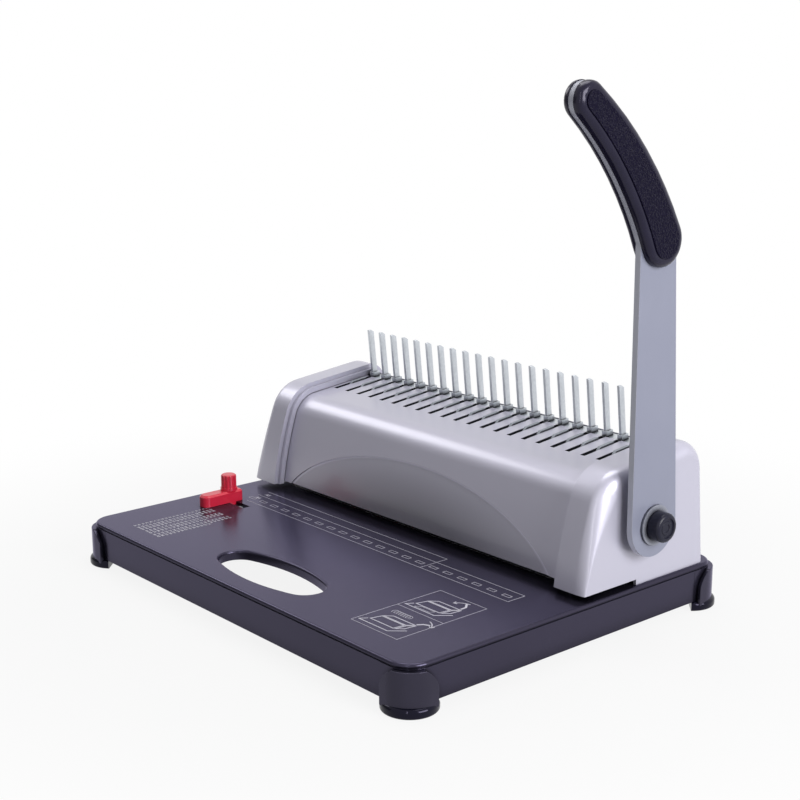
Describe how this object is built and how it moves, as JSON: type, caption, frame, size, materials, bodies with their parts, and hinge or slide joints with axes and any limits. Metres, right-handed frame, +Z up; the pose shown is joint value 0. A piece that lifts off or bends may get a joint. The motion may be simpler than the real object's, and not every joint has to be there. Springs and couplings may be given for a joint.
{
  "type": "comb binding machine",
  "caption": "Desk comb binding machine: black tray on corner feet, silver punch housing with upright comb fingers, red edge guide and a bent side lever.",
  "frame": {"origin": "on the table under the middle of the tray", "axes": "+X to the lever's side, +Y to the rear, +Z up from the table"},
  "size_m": [0.3883, 0.2896, 0.3641],
  "materials": {
    "tray_paint": "satin black paint, fine grain",
    "foot_rubber": "smooth black moulded rubber",
    "silver_plastic": "silver metallic satin",
    "steel": "machined",
    "zinc_steel": "bright zinc plating",
    "bush_bronze": "sintered bronze",
    "lever_paint": "grey satin paint",
    "black_gloss": "gloss black moulding",
    "grained_black": "leather grain",
    "black_plastic": "satin black moulding",
    "red_plastic": "gloss red moulding"
  },
  "bodies": {
    "machine": {"base_tray": "tray_paint", "front_left_foot": "foot_rubber", "front_right_foot": "foot_rubber", "rear_left_foot": "foot_rubber", "rear_right_foot": "foot_rubber", "foot_screws": "steel", "main_cover": "silver_plastic", "rear_cover": "silver_plastic", "left_end_cap": "silver_plastic", "right_end_cap": "silver_plastic", "cap_screws": "steel", "left_side_frame": "steel", "right_side_frame": "steel", "frame_screws": "steel", "tie_rods": "steel", "tie_nuts": "steel", "die_block": "steel", "paper_stop": "steel", "punch_guide": "steel", "die_screws": "steel", "finger_rail": "zinc_steel", "comb_fingers": "zinc_steel", "left_shaft_bush": "bush_bronze", "right_shaft_bush": "bush_bronze", "drawer_runners": "steel"},
    "punch_drive": {"torque_tube": "steel", "left_punch_pinion": "steel", "right_punch_pinion": "steel"},
    "handle": {"main_shaft": "steel", "drive_pins": "steel", "shaft_collar": "steel", "lever_spacer": "steel", "lever_bar": "lever_paint", "lever_washer": "steel", "lever_knob": "black_gloss", "grip_outer_shell": "black_gloss", "grip_inner_shell": "black_gloss", "grip_pad": "grained_black", "grip_screws": "steel"},
    "opener_drive": {"left_opener_pinion": "steel", "right_opener_pinion": "steel"},
    "comb_opener": {"opener_plate": "steel", "opener_hooks": "zinc_steel", "left_opener_arm": "steel", "right_opener_arm": "steel"},
    "punch_head": {"punch_bar": "steel", "punches": "steel", "left_punch_rack": "steel", "right_punch_rack": "steel"},
    "edge_guide": {"guide_block": "red_plastic", "guide_clamp": "steel"},
    "guide_screw": {"guide_knob": "red_plastic"},
    "drawer": {"chip_drawer": "black_plastic"}
  },
  "joints": [
    {"name": "punch_stroke", "type": "slide", "parent": "machine", "child": "punch_head", "axis": [0, 0, -1], "range_m": [0, 0.01257]},
    {"name": "lever_forward", "type": "hinge", "parent": "machine", "child": "punch_drive", "pos_m": [0, 0.0645, 0.077], "axis": [1, 0, 0], "range_deg": [0, 60]},
    {"name": "lever_back", "type": "hinge", "parent": "punch_drive", "child": "handle", "pos_m": [0, 0.0645, 0.077], "axis": [1, 0, 0], "range_deg": [-45, 0]},
    {"name": "opener_stroke", "type": "slide", "parent": "machine", "child": "comb_opener", "axis": [0, -0.9942, -0.108], "range_m": [0, 0.01414]},
    {"name": "opener_turn", "type": "hinge", "parent": "machine", "child": "opener_drive", "pos_m": [0, 0.0645, 0.077], "axis": [1, 0, 0], "range_deg": [-45, 0]},
    {"name": "guide_slide", "type": "slide", "parent": "machine", "child": "edge_guide", "axis": [1, 0, 0], "range_m": [-0.013, 0.018]},
    {"name": "guide_knob_turn", "type": "hinge", "parent": "edge_guide", "child": "guide_screw", "pos_m": [-0.1535, -0.036, 0.045], "axis": [0, 0, 1], "continuous": true},
    {"name": "drawer_slide", "type": "slide", "parent": "machine", "child": "drawer", "axis": [-1, 0, 0], "range_m": [0, 0.25]}
  ],
  "couplings": [
    {"joint": "lever_forward", "follows": "punch_stroke", "rad_per_m": 83.333},
    {"joint": "lever_back", "follows": "opener_stroke", "rad_per_m": -55.556},
    {"joint": "opener_turn", "follows": "opener_stroke", "rad_per_m": -55.556}
  ]
}
